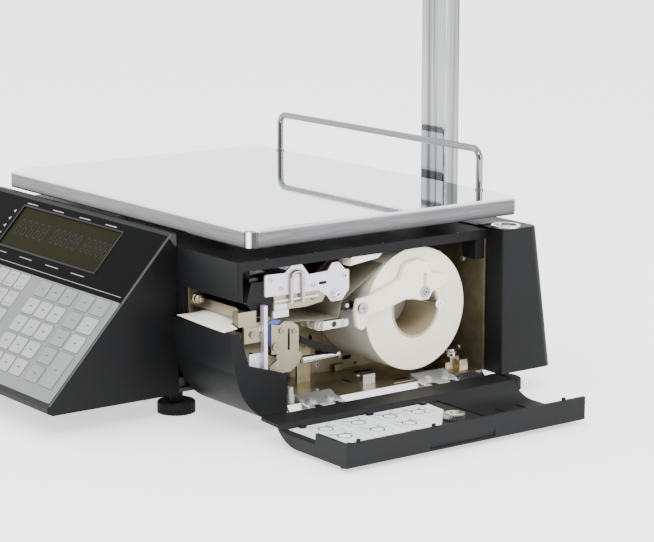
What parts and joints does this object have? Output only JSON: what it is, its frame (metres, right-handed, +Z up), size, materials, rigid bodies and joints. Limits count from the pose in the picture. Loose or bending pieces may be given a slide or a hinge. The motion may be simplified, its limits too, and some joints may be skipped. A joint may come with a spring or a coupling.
{
  "type": "label printing scale",
  "caption": "Counter scale with a steel load plate, sloped operator console, label printer behind an open side door and a customer display on a mast.",
  "frame": {"origin": "on the table, under the middle of the outline with the side door open", "axes": "+Z up, +X towards the operator's right and the printer side, +Y towards the customer"},
  "size_m": [0.448, 0.39, 0.482],
  "materials": {
    "housing_plastic": "satin moulded",
    "console_plastic": "satin moulded",
    "display_film": "printed film, satin",
    "key_film": "silver printed film",
    "lcd": "grey-green liquid crystal glass",
    "plate_steel": "fine brushed, near mirror",
    "guard_chrome": "polished wire",
    "mast_chrome": "polished tube",
    "bay_metal": "zinc-passivated sheet, olive",
    "zinc_steel": "zinc plated",
    "zinc_casting": "cast zinc",
    "tan_sheet": "yellow passivated sheet",
    "bright_steel": "bright plated",
    "ivory_plastic": "moulded",
    "cream_plastic": "moulded",
    "blue_plastic": "moulded",
    "black_plastic": "moulded",
    "rubber_black": "ground rubber",
    "white_gear": "acetal",
    "label_paper": "coated label stock",
    "liner_paper": "glassine liner",
    "board": "wound board",
    "sheet_paper": "printed sheet",
    "foot_plastic": "moulded, knurled",
    "level_body": "vial in a ring",
    "window_acrylic": "smoked acrylic",
    "pan_metal": "powder coated",
    "cast_frame": "as cast",
    "cell_metal": "machined",
    "motor_steel": "black coated",
    "circuit_board": "solder resist"
  },
  "bodies": {
    "frame": {"base_pan": "pan_metal", "top_cover": "housing_plastic", "rear_column": "housing_plastic", "bubble_level": "level_body", "console_housing": "console_plastic", "display_overlay": "display_film", "lcd_module": "lcd", "keypad_overlay": "key_film", "lower_front_cover": "housing_plastic", "printer_floor": "bay_metal", "printer_wall": "bay_metal", "catch_keeper": "ivory_plastic", "latch_block": "zinc_casting", "floor_studs": "zinc_steel", "spindle_rods": "bright_steel", "arm_post": "bright_steel", "side_bracket": "tan_sheet", "edge_plate": "bright_steel", "guide_block": "tan_sheet", "peel_bar": "bright_steel", "tie_bars": "zinc_steel", "liner_guide": "bay_metal", "stepper_motor": "motor_steel", "paper_web": "liner_paper", "printed_label": "label_paper", "hinge_plates": "zinc_steel", "hinge_pins": "bright_steel", "load_cell": "cell_metal", "spider": "cast_frame", "mast_socket": "housing_plastic", "mast": "mast_chrome", "mast_cap": "black_plastic", "connector_panel": "black_plastic", "main_board": "circuit_board"},
    "door": {"side_door": "housing_plastic", "door_sheet": "sheet_paper"},
    "knob": {"door_knob": "black_plastic"},
    "roll": {"label_roll": "label_paper", "roll_core": "board"},
    "arm": {"roll_arm": "ivory_plastic"},
    "print_head": {"head_bracket": "zinc_steel", "thermal_head": "black_plastic", "head_bail": "bright_steel"},
    "platen": {"platen_roller": "rubber_black", "platen_gear": "white_gear"},
    "idler": {"idler_gear": "white_gear"},
    "pinion": {"motor_pinion": "white_gear"},
    "guide": {"guide_roller": "cream_plastic"},
    "feed": {"feed_roller": "rubber_black"},
    "lever": {"release_lever": "blue_plastic"},
    "plate": {"load_plate": "plate_steel", "wire_guard": "guard_chrome"},
    "foot_fr": {"foot_front_right": "foot_plastic"},
    "foot_rr": {"foot_rear_right": "foot_plastic"},
    "foot_fl": {"foot_front_left": "foot_plastic"},
    "foot_rl": {"foot_rear_left": "foot_plastic"},
    "display_swivel": {"display_yoke": "black_plastic"},
    "display": {"display_head": "housing_plastic", "customer_window": "window_acrylic"},
    "rocker": {"power_switch": "black_plastic"}
  },
  "joints": [
    {"name": "door_hinge", "type": "hinge", "parent": "frame", "child": "door", "pos_m": [0.12, -0.015, 0.0145], "axis": [0, -1, 0], "range_deg": [0, 90]},
    {"name": "knob_turn", "type": "hinge", "parent": "door", "child": "knob", "pos_m": [0.195, 0.04, 0.015], "axis": [0, 0, 1], "continuous": true},
    {"name": "roll_spin", "type": "hinge", "parent": "frame", "child": "roll", "pos_m": [0.076, 0.0758, 0.072], "axis": [1, 0, 0], "continuous": true},
    {"name": "arm_lift", "type": "hinge", "parent": "frame", "child": "arm", "pos_m": [0.109, 0.0225, 0.08], "axis": [1, 0, 0], "range_deg": [0, 10]},
    {"name": "head_lift", "type": "hinge", "parent": "frame", "child": "print_head", "pos_m": [0.076, 0.003, 0.092], "axis": [-1, 0, 0], "range_deg": [0, 6]},
    {"name": "platen_spin", "type": "hinge", "parent": "frame", "child": "platen", "pos_m": [0.076, -0.062, 0.0753], "axis": [1, 0, 0], "continuous": true},
    {"name": "idler_spin", "type": "hinge", "parent": "frame", "child": "idler", "pos_m": [0.042, -0.04863, 0.05937], "axis": [1, 0, 0], "continuous": true},
    {"name": "pinion_spin", "type": "hinge", "parent": "frame", "child": "pinion", "pos_m": [0.042, -0.03547, 0.05177], "axis": [1, 0, 0], "continuous": true},
    {"name": "guide_spin", "type": "hinge", "parent": "frame", "child": "guide", "pos_m": [0.076, -0.0071, 0.0694], "axis": [1, 0, 0], "continuous": true},
    {"name": "feed_spin", "type": "hinge", "parent": "frame", "child": "feed", "pos_m": [0.076, 0.0135, 0.082], "axis": [1, 0, 0], "continuous": true},
    {"name": "lever_turn", "type": "hinge", "parent": "frame", "child": "lever", "pos_m": [0.1049, -0.0508, 0.061], "axis": [-1, 0, 0], "range_deg": [0, 12]},
    {"name": "plate_lift", "type": "slide", "parent": "frame", "child": "plate", "axis": [0, 0, 1], "range_m": [0, 0.03]},
    {"name": "foot_fr_turn", "type": "hinge", "parent": "frame", "child": "foot_fr", "pos_m": [0.0205, -0.079, 0.004], "axis": [0, 0, 1], "continuous": true},
    {"name": "foot_rr_turn", "type": "hinge", "parent": "frame", "child": "foot_rr", "pos_m": [0.1105, 0.158, 0.004], "axis": [0, 0, 1], "continuous": true},
    {"name": "foot_fl_turn", "type": "hinge", "parent": "frame", "child": "foot_fl", "pos_m": [-0.2, -0.079, 0.004], "axis": [0, 0, 1], "continuous": true},
    {"name": "foot_rl_turn", "type": "hinge", "parent": "frame", "child": "foot_rl", "pos_m": [-0.2, 0.158, 0.004], "axis": [0, 0, 1], "continuous": true},
    {"name": "display_turn", "type": "hinge", "parent": "frame", "child": "display_swivel", "pos_m": [-0.001, 0.185, 0.4], "axis": [0, 0, 1], "range_deg": [-90, 90]},
    {"name": "display_tilt", "type": "hinge", "parent": "display_swivel", "child": "display", "pos_m": [-0.001, 0.184, 0.433], "axis": [1, 0, 0], "range_deg": [-6, 20]},
    {"name": "switch_rock", "type": "hinge", "parent": "frame", "child": "rocker", "pos_m": [-0.2175, 0.101, 0.047], "axis": [0, 0, -1], "range_deg": [0, 10]}
  ],
  "couplings": [
    {"joint": "idler_spin", "follows": "platen_spin", "ratio": -1.1667},
    {"joint": "pinion_spin", "follows": "platen_spin", "ratio": 2},
    {"joint": "guide_spin", "follows": "platen_spin", "ratio": 1.7381},
    {"joint": "feed_spin", "follows": "platen_spin", "ratio": 1.825}
  ]
}
